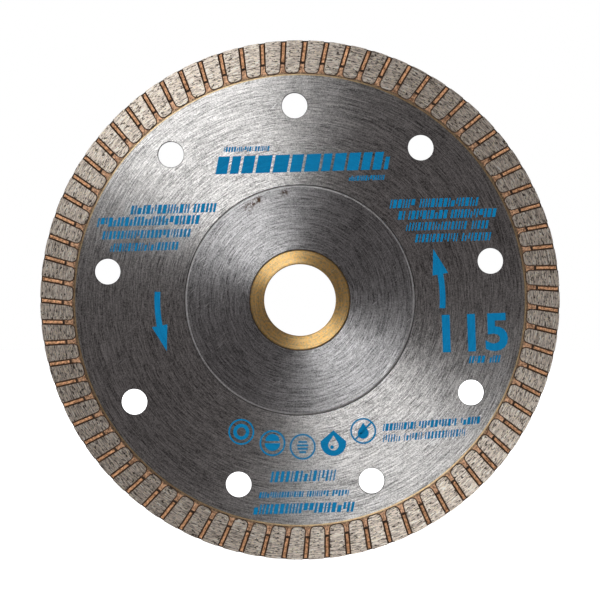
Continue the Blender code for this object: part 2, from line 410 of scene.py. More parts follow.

# %% [markdown]
# A machined edge doesn't look like the face beside it. The eased edge of a hub disc is bright bare
# steel with no one direction of brushing, so it catches the light as a thin line most of the way
# round. A wall that a laser cut is dark and dull. The bonding resin is almost black: its line round
# each hub disc is painted shadow, widened and darkened to stand for the shadow of the disc's step.

# %% Eased edge, cut walls and resin that paints a shadow
edge_steel, tree, shader = new_material("hub_edge_steel", 0.38, metallic=0.95)
_, edge_radius, edge_away = round_the_axis(tree)
edge_marks = streaks(tree, edge_radius, edge_away, 3.0, 30.0, seed=5.0)
edge_level = remap(tree, edge_marks, 0.35, 0.65, 0.68, 1.0)
tree.links.new(grey(tree, edge_level), shader.inputs["Base Color"])
tree.links.new(remap(tree, edge_marks, 0.3, 0.7, 0.34, 0.46), shader.inputs["Roughness"])
set_bump(tree, shader, edge_marks, 0.15, 0.03 * MM)
cut_steel = sintered_skin(
    "laser_cut_steel", (0.20, 0.19, 0.19, 1.0), (0.07, 0.065, 0.065, 1.0), 0.45, 0.9
)
# The resin's near-black is also painted shadow: it darkens the foot line round each hub disc.
resin_and_painted_shadow = sintered_skin("bond_resin_and_painted_shadow", (0.05, 0.046, 0.045, 1.0), (0.02, 0.018, 0.018, 1.0), 0.5, 0.0)
print("edges:", edge_steel.name, cut_steel.name, resin_and_painted_shadow.name)

# %% [markdown]
# ## The core
#
# The core is laser cut from 1.2 mm sheet, then lightly deburred. It is a flat plate with ten holes,
# which a boolean could cut. Writing its outlines as rings of points and filling between them keeps
# the edges clean, gives every edge the same small chamfer, and lets the walls have the dull finish
# that the laser leaves.

# %% A flat plate with round openings
def pierced_plate(openings, outer_radius, half, edge):
    """openings are (centre, radius, steps). Every edge gets a chamfer of this size."""
    shape = bmesh.new()
    levels = [(edge, half), (0.0, half - edge), (0.0, edge - half), (edge, -half)]
    outer_steps = 300
    rims = [(Vector((0.0, 0.0)), outer_radius, outer_steps, -1.0)]
    rims += [(centre, radius, steps, 1.0) for centre, radius, steps in openings]
    # The loops of the first and the last level are the borders of the two flat faces.
    borders = {0: [], 3: []}
    for centre, radius, steps, side in rims:
        turns = [2 * math.pi * i / steps for i in range(steps)]
        loops = []
        for opening, height in levels:
            ring = [centre + polar(radius + side * opening, turn) for turn in turns]
            loops.append([shape.verts.new((point.x, point.y, height)) for point in ring])
        for upper, lower in zip(loops, loops[1:]):
            for i in range(steps):
                j = (i + 1) % steps
                wall = shape.faces.new((upper[i], upper[j], lower[j], lower[i]))
                wall.material_index = 1
        for level in borders:
            loop = loops[level]
            borders[level] += [shape.edges.get((loop[i - 1], loop[i])) for i in range(steps)]
    for edges in borders.values():
        bmesh.ops.triangle_fill(shape, edges=edges, use_beauty=True)
    return shape


# %% The steel core
cooling_holes = []
for k in range(hole_count):
    hole_angle = first_hole_angle + 2 * math.pi * k / hole_count
    cooling_holes.append((polar(hole_ring, hole_angle), hole_radius, 64))
openings = [(Vector((0.0, 0.0)), core_bore, 128)] + cooling_holes
core_chamfer = 0.12 * MM
core_shape = pierced_plate(openings, core_radius, core_half, core_chamfer)
core_mesh = finish_mesh(core_shape, "core_disc", [core_steel, cut_steel])
core = add_piece("core_disc", core_mesh, "blade", "steel_core")

# %% [markdown]
# ## The hub discs
#
# A steel disc is bonded to each face of the core, so that the grinder's flange has something thick to
# grip. Each is turned here from one profile. Its outer edge slopes off and is rounded over half of
# its height, because that edge catches the light as a thin bright line. The lower part of that rounding
# and the side wall below it take the dark finish of a cut wall, as painted shade. Its foot runs out
# into a narrow near-black line of resin, squeezed out when the disc was pressed on, and widened here
# as a painted shadow of the disc's step on the core.

# %% The two hub discs
def hub_profile(middle):
    """The profile of a disc above the core. The foot's low side stops just short of the core."""
    top = middle + hub_disc_half
    bottom = middle - hub_disc_half
    chamfer = 0.16 * MM
    edge = 0.28 * MM
    slope = 0.12 * MM
    fall = 0.05 * MM
    foot_width = 0.2 * MM
    foot_height = 0.06 * MM
    low = bottom - 0.04 * MM
    points = [(core_bore, top - chamfer), (core_bore + chamfer, top)]
    points += [(hub_radius - edge - slope, top)]
    points += rounded_edge(hub_radius - edge, top - fall - edge, edge, 65, 0)
    points += [(hub_radius, bottom + foot_height), (hub_radius + foot_width, low), (core_bore, low)]
    return points


# The material of each stretch: 0 face, 1 eased edge, 2 cut wall, 3 resin. The cut wall on the lower
# rounding and the side, and the resin on the foot, are painted shade round the disc's step.
hub_slots = [2, 0, 1, 1, 1, 2, 2, 2, 3, 0, 2]

for name, middle, steel, node in (
    ("front_hub_disc", hub_disc_y, stained_steel, "front_hub_flange"),
    ("rear_hub_disc", -hub_disc_y, hub_steel, "rear_hub_flange"),
):
    hub_shape = bmesh.new()
    profile = hub_profile(abs(middle))
    if middle < 0:
        profile = [(r, -h) for r, h in profile]
    add_turned(hub_shape, profile, 240, hub_slots)
    hub_mesh = finish_mesh(hub_shape, name, [steel, edge_steel, cut_steel, resin_and_painted_shadow])
    add_piece(name, hub_mesh, "blade", node)

# %% [markdown]
# ## The reducing bush
#
# The bush is turned from brass bar: bright, with fine turning marks and a chamfer at each edge. It is
# a separate body, because it pushes out of the bore. On its faces the marks are rings round the axis.
# On its walls they lie one beside the other along the axis, so the walls have their own material.

# %% Turned brass
def turned_brass():
    material, tree, shader = new_material("turned_brass", 0.38, metallic=0.97, anisotropy=0.93)
    place, radius, away = round_the_axis(tree)
    rings = streaks(tree, radius, away, 4.0, 2.5, detail=2.0)
    wear = grain(tree, place, 0.45, detail=3.0, seed=4.0)
    level = remap(tree, weighted(tree, (rings, 0.35), (wear, 0.65)), 0.38, 0.62, 0.6, 1.24)
    tone = remap(tree, wear, 0.4, 0.62, 0.0, 1.0)
    gold = tint(tree, tone, (0.96, 0.68, 0.34, 1.0), (0.86, 0.53, 0.17, 1.0))
    worn = tint(tree, 1.0, gold, grey(tree, level), "MULTIPLY")
    nicked = tint(tree, scratches(tree, place), worn, (1.0, 0.85, 0.5, 1.0))
    tree.links.new(nicked, shader.inputs["Base Color"])
    tree.links.new(remap(tree, wear, 0.3, 0.7, 0.33, 0.43), shader.inputs["Roughness"])
    brush_round(tree, shader, away, math.radians(-2))
    set_bump(tree, shader, wear, 0.3, 0.06 * MM)
    return material


def bored_brass():
    """The walls of the bush: fine rings of the boring tool, one beside the other along the axis."""
    material, tree, shader = new_material("bored_brass", 0.34, metallic=0.97)
    place = add_node(tree, "ShaderNodeTexCoord").outputs["Object"]
    drawn_out = vector_maths(tree, "MULTIPLY", place, (0.04, 1.0, 0.04))
    rings = grain(tree, drawn_out, 0.14, seed=3.0)
    wear = grain(tree, place, 0.5, detail=3.0, seed=5.0)
    mixed = weighted(tree, (rings, 0.6), (wear, 0.4))
    level = remap(tree, mixed, 0.38, 0.62, 0.0, 1.0)
    colour = tint(tree, level, (0.66, 0.40, 0.13, 1.0), (1.0, 0.70, 0.33, 1.0))
    tree.links.new(colour, shader.inputs["Base Color"])
    tree.links.new(remap(tree, wear, 0.3, 0.7, 0.28, 0.42), shader.inputs["Roughness"])
    set_bump(tree, shader, rings, 0.25, 0.04 * MM)
    return material


brass = turned_brass()
wall_brass = bored_brass()

# %% The bush
def bush_profile(outer, edge):
    """A rectangular section with a chamfer of this size at each corner, clockwise."""
    corners = [(bush_bore, bush_half), (outer, bush_half), (outer, -bush_half), (bush_bore, -bush_half)]
    inward = [(1, -1), (-1, -1), (-1, 1), (1, 1)]
    points = []
    for (radius, height), (to_r, to_h) in zip(corners, inward):
        along = (radius + to_r * edge, height)
        down = (radius, height + to_h * edge)
        points += [down, along] if to_r * to_h < 0 else [along, down]
    return points


# It fills the bore to within this gap, so that no light shows through its running clearance.
bush_gap = 0.02 * MM
bush_chamfer = 0.22 * MM
# The material of each stretch: 0 turned face, 1 bored wall.
bush_slots = [0, 0, 0, 1, 0, 0, 0, 1]
bush_shape = bmesh.new()
add_turned(bush_shape, bush_profile(core_bore - bush_gap, bush_chamfer), 180, bush_slots)
bush_mesh = finish_mesh(bush_shape, "brass_bush", [brass, wall_brass])
bush = add_piece("brass_bush", bush_mesh, "bush", "reducing_bush")

# %% [markdown]
# ## Finishes of the rim
#
# The rim is bronze and steel powder pressed round the core and sintered, with diamond grit in it. Its
# pads are ground after sintering: warm grey metal with fine marks, and dark pits where grit fell out.
# The walls that the wheel doesn't reach keep a brown unground skin, painted far darker than that skin
# as the shade in the narrow grooves. The groove floors keep their copper skin.
# The lap is rubbed smoother, darkens towards the core and ends in a thin shining lip of braze.

# %% Ground pad metal
def ground_pad_metal():
    material, tree, shader = new_material("pad_ground_metal", 0.46, metallic=0.90, anisotropy=0.92)
    place, radius, away = round_the_axis(tree)
    fine = streaks(tree, radius, away, 4.0, 32.0)
    cloud = grain(tree, place, 0.9, detail=4.0, seed=1.0)
    level = remap(tree, weighted(tree, (fine, 0.75), (cloud, 0.25)), 0.38, 0.62, 0.38, 1.4)
    tone = remap(tree, cloud, 0.4, 0.62, 0.0, 1.0)
    base = tint(tree, tone, (1.0, 0.89, 0.78, 1.0), (0.90, 0.78, 0.68, 1.0))
    metal = tint(tree, 1.0, base, grey(tree, level), "MULTIPLY")
    grooves = streaks(tree, radius, away, 3.8, 16.0, detail=1.0, seed=2.0)
    lined = tint(tree, remap(tree, grooves, 0.54, 0.63, 0.0, 0.5), metal, (0.16, 0.12, 0.09, 1.0))
    holes = streaks(tree, radius, away, 3.4, 60.0, detail=1.0, seed=9.0)
    pits = remap(tree, holes, 0.585, 0.62, 0.0, 0.92)
    pitted = tint(tree, pits, lined, (0.045, 0.032, 0.024, 1.0))
    flecks = remap(tree, grain(tree, place, 0.3, detail=1.0, seed=6.0), 0.61, 0.68, 0.0, 0.95)
    flecked = tint(tree, flecks, pitted, (1.0, 0.90, 0.66, 1.0))
    tree.links.new(flecked, shader.inputs["Base Color"])
    tree.links.new(remap(tree, fine, 0.3, 0.7, 0.42, 0.54), shader.inputs["Roughness"])
    brush_round(tree, shader, away)
    set_bump(tree, shader, maths(tree, "SUBTRACT", fine, pits), 0.2, 0.05 * MM)
    return material


pad_metal = ground_pad_metal()

# %% Copper floors, lap, braze, brown walls in painted shade, and grit
copper = sintered_skin(
    "copper_floor", (1.0, 0.55, 0.29, 1.0), (0.22, 0.09, 0.035, 1.0), 0.5, 0.4, size=0.5
)
lap_skin = sintered_skin(
    "lap_skin", (0.80, 0.47, 0.28, 1.0), (0.14, 0.065, 0.032, 1.0), 0.42, 0.45, 0.85, size=0.5
)
lap_edge = sintered_skin(
    "lap_edge", (0.52, 0.35, 0.22, 1.0), (0.10, 0.058, 0.034, 1.0), 0.42, 0.85, 0.85, size=0.4
)
lip_skin = sintered_skin(
    "brazed_lip", (1.0, 0.80, 0.46, 1.0), (0.68, 0.50, 0.32, 1.0), 0.35, 0.97, 1.0
)
# The brown walls: unground skin, made near-black as painted shade on the pad walls, the step and the
# web's outer end.
wall_skin_and_painted_shade = sintered_skin(
    "brown_wall_skin_and_painted_shade", (0.085, 0.045, 0.025, 1.0), (0.035, 0.02, 0.012, 1.0), 0.62, 0.3
)
grit = sintered_skin("diamond_grit", (0.80, 0.74, 0.55, 1.0), (0.35, 0.32, 0.24, 1.0), 0.22, 0.0)
rim_finishes = (pad_metal, copper, lap_skin, lap_edge, lip_skin, wall_skin_and_painted_shade, grit)
print("rim finishes:", *[finish.name for finish in rim_finishes])

# %% [markdown]
# ## The rim's ring
#
# One ring laps the core's edge on both faces. From the inside outwards its profile has a small lip of
# braze, the lap with its darker edge, a step down where the grooves deepen, and the thin web at the
# bottom of the deep grooves. The web's outer side is ground with the pads. The back is the same
# profile mirrored, and a slot between the two holds the core's edge.

# %% The ring
# WALL is the dark brown wall finish, painted shade on the step down and on the web's outer end.
ring_materials = [copper, wall_skin_and_painted_shade, lap_skin, lip_skin, pad_metal, lap_edge]
FLOOR, WALL, LAP, LIP, GROUND, LAP_EDGE = range(len(ring_materials))


def ring_profile():
    """The points of the profile, and the material of the stretch after each of them."""
    inner = lip_radius / MM
    lap = lap_half / MM
    face = core_half / MM + 0.004
    web = web_half / MM
    step = (rim_radius - deep_groove_length) / MM
    outer = (rim_radius - web_setback) / MM
    front = [
        ((inner - 0.10, face), LIP),
        ((inner - 0.06, face + 0.06), LIP),
        ((inner + 0.14, face + 0.06), LIP),
        ((inner + 0.20, lap - 0.02), LAP_EDGE),
        ((inner + 0.32, lap), LAP_EDGE),
        ((inner + 0.62, lap), LAP),
        ((step - 0.22, lap), WALL),
        ((step - 0.06, lap - 0.05), WALL),
        ((step + 0.14, web + 0.05), WALL),
        ((step + 0.36, web), FLOOR),
        ((outer - 0.3, web), WALL),
        ((outer, web - 0.06), GROUND),
    ]
    # On the way back each stretch has the material of its mirror image.
    back_slots = [slot for _, slot in front[:-1]][::-1] + [FLOOR]
    back = [((r, -h), slot) for ((r, h), _), slot in zip(front[::-1], back_slots)]
    slot_end = core_radius / MM + 0.05
    slot_for_core = [((slot_end, -face), FLOOR), ((slot_end, face), FLOOR)]
    points = front + back + slot_for_core
    return [(r * MM, h * MM) for (r, h), _ in points], [slot for _, slot in points]


ring_points, ring_slots = ring_profile()
ring_shape = bmesh.new()
add_turned(ring_shape, ring_points, 4 * pad_count, ring_slots)
ring_mesh = finish_mesh(ring_shape, "rim_ring", ring_materials)
ring = add_piece("rim_ring", ring_mesh, "blade", "diamond_rim")

# %% [markdown]
# ## One pad
#
# A pad is the land between two slanted grooves. Its outline has two straight walls, a rounded inner
# end and small outer corners. Lofting the outline down through five levels, a little wider at each,
# gives the pad a softened top edge and the drafted walls that let it leave the press.

# %% The outline of a pad
def groove_wall(angle, side, radius, spread):
    """Where a wall of a slanted groove crosses a radius. The spread moves it into the groove."""
    along = polar(1.0, angle - groove_slant)
    across = along.orthogonal() * side * (groove_width / 2 - spread)
    start = polar(slant_radius, angle) + across
    inward = start.dot(along)
    reach = math.sqrt(inward ** 2 - start.length_squared + radius ** 2) - inward
    return start + along * reach


def rounded_corner(corner, before, after, radius, steps):
    back = (before - corner).normalized()
    onward = (after - corner).normalized()
    half_angle = back.angle(onward) / 2
    centre = corner + (back + onward).normalized() * (radius / math.sin(half_angle))
    start = corner + back * (radius / math.tan(half_angle)) - centre
    end = corner + onward * (radius / math.tan(half_angle)) - centre
    shares = [i / steps for i in range(steps + 1)]
    return [centre + start.slerp(end, share).normalized() * radius for share in shares]


# The radius in millimetres and the steps of each corner: the inner ones are large, the outer small.
pad_corners = [(0.9, 4), (0.16, 2), (0.16, 2), (0.9, 4)]


def pad_outline(spread):
    """The outline of the pad after the first groove, with the same count of points each time."""
    inner_radius = rim_radius - pad_length - spread
    next_angle = first_groove_angle + pitch
    corners = [
        groove_wall(first_groove_angle, 1, inner_radius, spread),
        groove_wall(first_groove_angle, 1, rim_radius, spread),
        groove_wall(next_angle, -1, rim_radius, spread),
        groove_wall(next_angle, -1, inner_radius, spread),
    ]
    outline = []
    for i, (size, steps) in enumerate(pad_corners):
        radius = max(size * MM + spread, 0.1 * MM)
        after = corners[(i + 1) % 4]
        outline += rounded_corner(corners[i], corners[i - 1], after, radius, steps)
        if i == 1:
            middle = (corners[1] + corners[2]).normalized()
            outline.append(middle * rim_radius)
    return outline


# %% The pad as a loft
# The spread of each level in millimetres, and its height as a share of the rim's half thickness.
pad_levels = [(-0.05, 1.0), (0.0, 0.97), (0.2, 0.87), (0.25, 0.79), (0.34, 0.42)]


def pad_module(side):
    """One pad. side is 1 on the front and -1 on the back, where it sits half a pitch further on."""
    shape = bmesh.new()
    wall = shape.faces.layers.int.new("wall")
    loops = []
    for spread, share in pad_levels:
        height = share * rim_half
        loops.append([shape.verts.new((p.x, p.y, height)) for p in pad_outline(spread * MM)])
    count = len(loops[0])
    shape.faces.new(loops[0])
    shape.faces.new(loops[-1])
    for level, (upper, lower) in enumerate(zip(loops, loops[1:])):
        for i in range(count):
            j = (i + 1) % count
            face = shape.faces.new((upper[i], upper[j], lower[j], lower[i]))
            at_outer_end = face.calc_center_median().xy.length > rim_radius - 0.1 * MM
            face[wall] = int(level > 0 and not at_outer_end)
    if side < 0:
        over = Matrix.Rotation(math.pi, 4, "Y")
        stagger = Matrix.Rotation(2 * first_groove_angle + pitch / 2 - math.pi, 4, "Z")
        shape.transform(stagger @ over)
    bmesh.ops.recalc_face_normals(shape, faces=shape.faces)
    return shape


print("points round a pad:", len(pad_outline(0.0)))

# %% [markdown]
# ## The pads by Geometry Nodes
#
# The 75 pads of a face are one pad, repeated at even steps round the axis. That is what instances are
# for: a set of points at the axis, each carrying the pad turned a step further. The tree ends by
# making the instances real and giving the walls their own material.

# %% Helpers for a node tree and its modifier
def new_tree(name, sockets):
    """A geometry node tree with these named inputs. Gives the tree, its input node and their ids."""
    tree = bpy.data.node_groups.new(name, "GeometryNodeTree")
    tree.interface.new_socket("Geometry", in_out="INPUT", socket_type="NodeSocketGeometry")
    tree.interface.new_socket("Geometry", in_out="OUTPUT", socket_type="NodeSocketGeometry")
    ids = {}
    for label, kind in sockets:
        ids[label] = tree.interface.new_socket(label, in_out="INPUT", socket_type=kind).identifier
    return tree, tree.nodes.new("NodeGroupInput"), ids


def made_by_nodes(name, mesh, tree, ids, values):
    """Runs the tree on the mesh and gives the result as a plain mesh, with the modifier gone."""
    source = bpy.data.objects.new(name + "_source", mesh)
    bpy.context.scene.collection.objects.link(source)
    modifier = source.modifiers.new("nodes", "NODES")
    modifier.node_group = tree
    for label, value in values.items():
        modifier[ids[label]] = value
    graph = bpy.context.evaluated_depsgraph_get()
    result = bpy.data.meshes.new_from_object(source.evaluated_get(graph))
    result.name = name
    bpy.data.objects.remove(source)
    return result


# %% The tree that repeats a pad
def repeat_round_tree():
    sockets = [
        ("Count", "NodeSocketInt"),
        ("Pitch", "NodeSocketFloat"),
        ("Ground metal", "NodeSocketMaterial"),
        ("Wall metal", "NodeSocketMaterial"),
    ]
    tree, given, ids = new_tree("repeat_round_axis", sockets)
    points = add_node(tree, "GeometryNodePoints", {"Count": given.outputs["Count"]})
    index = add_node(tree, "GeometryNodeInputIndex").outputs[0]
    turn = maths(tree, "MULTIPLY", index, given.outputs["Pitch"])
    rotation = add_node(tree, "ShaderNodeCombineXYZ", {2: turn}).outputs[0]
    inputs = {"Points": points.outputs[0], "Instance": given.outputs["Geometry"], "Rotation": rotation}
    placed = add_node(tree, "GeometryNodeInstanceOnPoints", inputs)
    real = add_node(tree, "GeometryNodeRealizeInstances", {0: placed.outputs[0]})
    ground = {"Geometry": real.outputs[0], "Material": given.outputs["Ground metal"]}
    all_ground = add_node(tree, "GeometryNodeSetMaterial", ground)
    wall = add_node(tree, "GeometryNodeInputNamedAttribute", {"Name": "wall"}, data_type="INT")
    walls = {
        "Geometry": all_ground.outputs[0],
        "Selection": wall.outputs["Attribute"],
        "Material": given.outputs["Wall metal"],
    }
    with_walls = add_node(tree, "GeometryNodeSetMaterial", walls)
    add_node(tree, "NodeGroupOutput", {0: with_walls.outputs[0]})
    return tree, ids


pads_tree, pads_ids = repeat_round_tree()

# %% The pads of each face
# The pad walls take the dark brown finish, painted shade of the grooves.
pads_values = {"Count": pad_count, "Pitch": pitch, "Ground metal": pad_metal, "Wall metal": wall_skin_and_painted_shade}
flat_pads = {}
for name, side in (("front_pads", 1), ("rear_pads", -1)):
    module = bpy.data.meshes.new(name + "_module")
    module_shape = pad_module(side)
    module_shape.to_mesh(module)
    module_shape.free()
    mesh = made_by_nodes(name, module, pads_tree, pads_ids, pads_values)
    # The grit is scattered over the pads as they lie flat.
    flat_pads[side] = mesh.copy()
    shade(mesh, 40)
    mesh.transform(STAND_UP)
    add_piece(name, mesh, "blade", "diamond_rim")

# %% [markdown]
# ## Diamond grit
#
# Grinding leaves the hardest grains standing a few hundredths of a millimetre proud. Placing about
# two thousand on each face by hand is out of the question, and a texture has no edge to catch the
# light. So a second tree scatters small rough crystals over the ground faces of the pads, with a
# fixed seed.

# %% The tree that scatters grit
def grit_tree():
    sockets = [
        ("Per square metre", "NodeSocketFloat"),
        ("Smallest", "NodeSocketFloat"),
        ("Largest", "NodeSocketFloat"),
        ("Seed", "NodeSocketInt"),
        ("Crystal", "NodeSocketMaterial"),
    ]
    tree, given, ids = new_tree("scatter_grit", sockets)
    wall = add_node(tree, "GeometryNodeInputNamedAttribute", {"Name": "wall"}, data_type="INT")
    compared = {2: wall.outputs["Attribute"], 3: 0}
    ground = add_node(tree, "FunctionNodeCompare", compared, data_type="INT", operation="EQUAL")
    places = {
        "Mesh": given.outputs["Geometry"],
        "Selection": ground.outputs[0],
        "Density": given.outputs["Per square metre"],
        "Seed": given.outputs["Seed"],
    }
    points = add_node(tree, "GeometryNodeDistributePointsOnFaces", places, distribute_method="RANDOM")
    crystal = add_node(tree, "GeometryNodeMeshIcoSphere", {"Radius": 1.0, "Subdivisions": 1})
    whole_turn = (6.28, 6.28, 6.28)
    spin = {0: (0.0, 0.0, 0.0), 1: whole_turn, "Seed": 11}
    rotation = add_node(tree, "FunctionNodeRandomValue", spin, data_type="FLOAT_VECTOR")
    sizes = {2: given.outputs["Smallest"], 3: given.outputs["Largest"], "Seed": 12}
    size = add_node(tree, "FunctionNodeRandomValue", sizes, data_type="FLOAT")
    thin = maths(tree, "MULTIPLY", size.outputs[1], 0.7)
    squash = add_node(tree, "ShaderNodeCombineXYZ", {0: size.outputs[1], 1: size.outputs[1], 2: thin})
    inputs = {
        "Points": points.outputs["Points"],
        "Instance": crystal.outputs["Mesh"],
        "Rotation": rotation.outputs[0],
        "Scale": squash.outputs[0],
    }
    placed = add_node(tree, "GeometryNodeInstanceOnPoints", inputs)
    real = add_node(tree, "GeometryNodeRealizeInstances", {0: placed.outputs[0]})
    finished = {"Geometry": real.outputs[0], "Material": given.outputs["Crystal"]}
    crystals = add_node(tree, "GeometryNodeSetMaterial", finished)
    add_node(tree, "NodeGroupOutput", {0: crystals.outputs[0]})
    return tree, ids


scatter, scatter_ids = grit_tree()

# %% Grit on both faces
for name, side, seed in (("front_grit", 1, 21), ("rear_grit", -1, 22)):
    values = {
        "Per square metre": 1.1e6,
        "Smallest": 0.035 * MM,
        "Largest": 0.075 * MM,
        "Seed": seed,
        "Crystal": grit,
    }
    mesh = made_by_nodes(name, flat_pads[side], scatter, scatter_ids, values)
    mesh.transform(STAND_UP)
    add_piece(name, mesh, "blade", "diamond_rim")

# %% [markdown]
# ## The print
#
# The face carries blue pad printing: lines of advice, a size, two arrows for the turning direction
# and a row of round marks. The words are replaced here by rows of slanted strokes, which keep the
# weight and the place of the lines and say nothing. Each mark is a thin closed prism on the core's
# face, because a film with real edges stays crisp however near the camera comes.

# %% Blue ink
def blue_ink():
    material, tree, shader = new_material("blue_ink", 0.55, metallic=0.0)
    shader.inputs["Specular IOR Level"].default_value = 0.05
    place, radius, away = round_the_axis(tree)
    lines = streaks(tree, radius, away, 3.4, 9.0)
    speck = grain(tree, place, 0.3, seed=4.0)
    mixed = weighted(tree, (lines, 0.6), (speck, 0.4))
    thin = remap(tree, mixed, 0.38, 0.66, 0.0, 1.0)
    colour = tint(tree, thin, (0.001, 0.14, 0.31, 1.0), (0.003, 0.20, 0.42, 1.0))
    tree.links.new(colour, shader.inputs["Base Color"])
    tree.links.new(remap(tree, speck, 0.3, 0.7, 0.5, 0.64), shader.inputs["Roughness"])
    set_bump(tree, shader, mixed, 0.15, 0.02 * MM)
    return material


ink = blue_ink()

# %% Marks as thin prisms
film_thickness = 0.014 * MM
film_low = core_half
film_high = core_half + film_thickness
print_shape = bmesh.new()


def add_prism(outline):
    """A flat mark with this outline, counterclockwise, in millimetres on the face."""
    points = [Vector(point) * MM for point in outline]
    top = [print_shape.verts.new((p.x, p.y, film_high)) for p in points]
    bottom = [print_shape.verts.new((p.x, p.y, film_low)) for p in points]
    print_shape.faces.new(top)
    print_shape.faces.new(bottom[::-1])
    for i in range(len(points)):
        print_shape.faces.new((top[i - 1], bottom[i - 1], bottom[i], top[i]))


def add_band(centre, inner, outer, start, end, steps):
    """Part of a flat ring, or all of it, from angle start to end. An inner radius of 0 fills it."""
    middle = Vector(centre)
    for i in range(steps):
        first = start + (end - start) * i / steps
        second = start + (end - start) * (i + 1) / steps
        corners = [(inner, first), (outer, first), (outer, second)]
        if inner > 0.0:
            corners.append((inner, second))
        add_prism([middle + polar(radius, angle) for radius, angle in corners])


# %% [markdown]
# A word becomes a run of slanted strokes, thick and thin, tall and short, picked with a fixed seed.
# That has the weight of bold print from a distance, and nothing in it is a letter.

# %% Rows of strokes
picker = random.Random(115)
stroke_widths = (0.16, 0.24, 0.38)
block_widths = (0.45, 0.6, 0.75)
print_tilt = 1.7
low_print_tilt = 4.5


def add_strokes(left, right, low, high, words, weight=1.0, tilt=print_tilt, widths=stroke_widths):
    """Runs of strokes between two sides. words gives the share of the length of each run.

    weight makes the strokes wider, and tilt turns the row, in degrees.
    """
    lean = 0.22
    height = high - low
    middle = Vector((left + right, low + high)) / 2
    turn = Matrix.Rotation(math.radians(tilt), 2)
    space = 0.45 * height
    scale = (right - left - space * (len(words) - 1)) / sum(words)
    start = left
    for word in words:
        end = start + word * scale
        place = start
        while place < end - 0.12 * height:
            width = height * picker.choice(widths) * (0.6 + 0.5 * weight)
            width = min(width, end - place)
            # Six strokes in eight are whole, one stops short of the top and one starts off the line.
            rise, fall = picker.choice(((0.0, 1.0),) * 6 + ((0.0, 0.72), (0.28, 1.0)))
            outline = []
            for x, y in ((0, rise), (1, rise), (1, fall), (0, fall)):
                corner = Vector((place + x * width + (y - 0.5) * height * lean, low + y * height))
                outline.append(middle + turn @ (corner - middle))
            add_prism(outline)
            place += width + height * (0.15 + 0.07 * (1.0 - weight))
        start = end + space


# Each row: left, right, low and high in millimetres, the shares of its words, and its weight.
block_row = (-18.4, 19.8, 28.4, 32.3, (9,))
rows = [
    (-16.8, -6.8, 32.9, 34.0, (4, 2), 0.9),
    (10.9, 18.7, 26.5, 27.6, (5,), 0.9),
    (-37.4, -18.4, 19.2, 21.2, (5, 2), 1.0),
    (-44.8, -22.3, 16.5, 18.5, (10,), 1.0),
    (-43.7, -24.3, 13.7, 15.5, (9,), 0.35),
    (-41.9, -27.0, 10.9, 12.7, (7,), 0.35),
    (20.0, 39.4, 20.6, 22.5, (4, 9), 1.0),
    (21.8, 43.4, 18.1, 20.0, (1, 6, 7), 1.0),
    (23.6, 42.2, 15.6, 17.4, (10, 3), 0.35),
    (25.6, 42.7, 13.0, 14.8, (7, 5), 0.35),
    (37.5, 44.6, -13.9, -12.3, (3, 2), 1.0),
    (-9.0, 10.9, -43.6, -42.3, (8, 4, 3), 0.7),
    (-10.2, 12.0, -47.2, -45.0, (8,), 1.0),
    (-6.4, 7.8, -40.2, -37.8, (6,), 0.4),
]
low_rows = [
    (18.4, 40.0, -28.2, -26.6, (5, 6, 3), 1.0),
    (18.4, 36.9, -30.8, -29.2, (3, 3, 7), 0.35),
]
add_strokes(*block_row, widths=block_widths)
for row in rows:
    add_strokes(*row)
for row in low_rows:
    add_strokes(*row, tilt=low_print_tilt)
print("rows of strokes:", 1 + len(rows) + len(low_rows))

# %% [markdown]
# The arrows follow the turning direction: up on the right, down on the left, each a curved shaft with
# a plain triangle. The round marks are rings with simple fillings: a smaller ring, two halves, bars
# and a drop. Each is put together from convex prisms, which always fill cleanly.

# %% Arrows
arrow_radius = 31.6
shaft_half = 0.65
head_half = 1.75
shaft_from = math.radians(-3.3)
shaft_to = math.radians(10.4)
head_length = math.radians(10.6)
arrow_turns = (0.0, math.pi)
for turn in arrow_turns:
    shaft_start = turn + shaft_from
    shaft_end = turn + shaft_to
    sides = (arrow_radius - shaft_half, arrow_radius + shaft_half)
    add_band((0.0, 0.0), *sides, shaft_start, shaft_end, 8)
    tip = polar(arrow_radius, shaft_end + head_length)
    head = [polar(arrow_radius - head_half, shaft_end), polar(arrow_radius + head_half, shaft_end)]
    add_prism(head + [tip])
print("arrows:", len(arrow_turns))

# %% Drops, bars and discs
def drop_outline(centre, size, steps=20):
    """A drop: a round belly with a point above it, counterclockwise from the point."""
    x, y = centre
    # The tip is 1.9 radii above the belly's middle, and the sides leave the belly on its tangents.
    side = math.acos(1 / 1.9)
    start = math.pi / 2 + side
    sweep = 2 * (math.pi - side)
    turns = [start + sweep * i / steps for i in range(steps + 1)]
    belly = [(x + size * math.cos(turn), y + size * (math.sin(turn) - 0.4)) for turn in turns]
    return [(x, y + 1.5 * size)] + belly


def add_bar(centre, width, height, turn=0.0):
    rotate = Matrix.Rotation(turn, 2)
    signs = ((-1, -1), (1, -1), (1, 1), (-1, 1))
    corners = [Vector((a * width / 2, b * height / 2)) for a, b in signs]
    add_prism([Vector(centre) + rotate @ corner for corner in corners])


def add_disc_round(outline, centre, radius):
    """A disc with an opening of this outline."""
    middle = Vector(centre)
    for i in range(len(outline)):
        first = Vector(outline[i - 1])
        second = Vector(outline[i])
        far_first = middle + (first - middle).normalized() * radius
        far_second = middle + (second - middle).normalized() * radius
        add_prism([first, far_first, far_second, second])


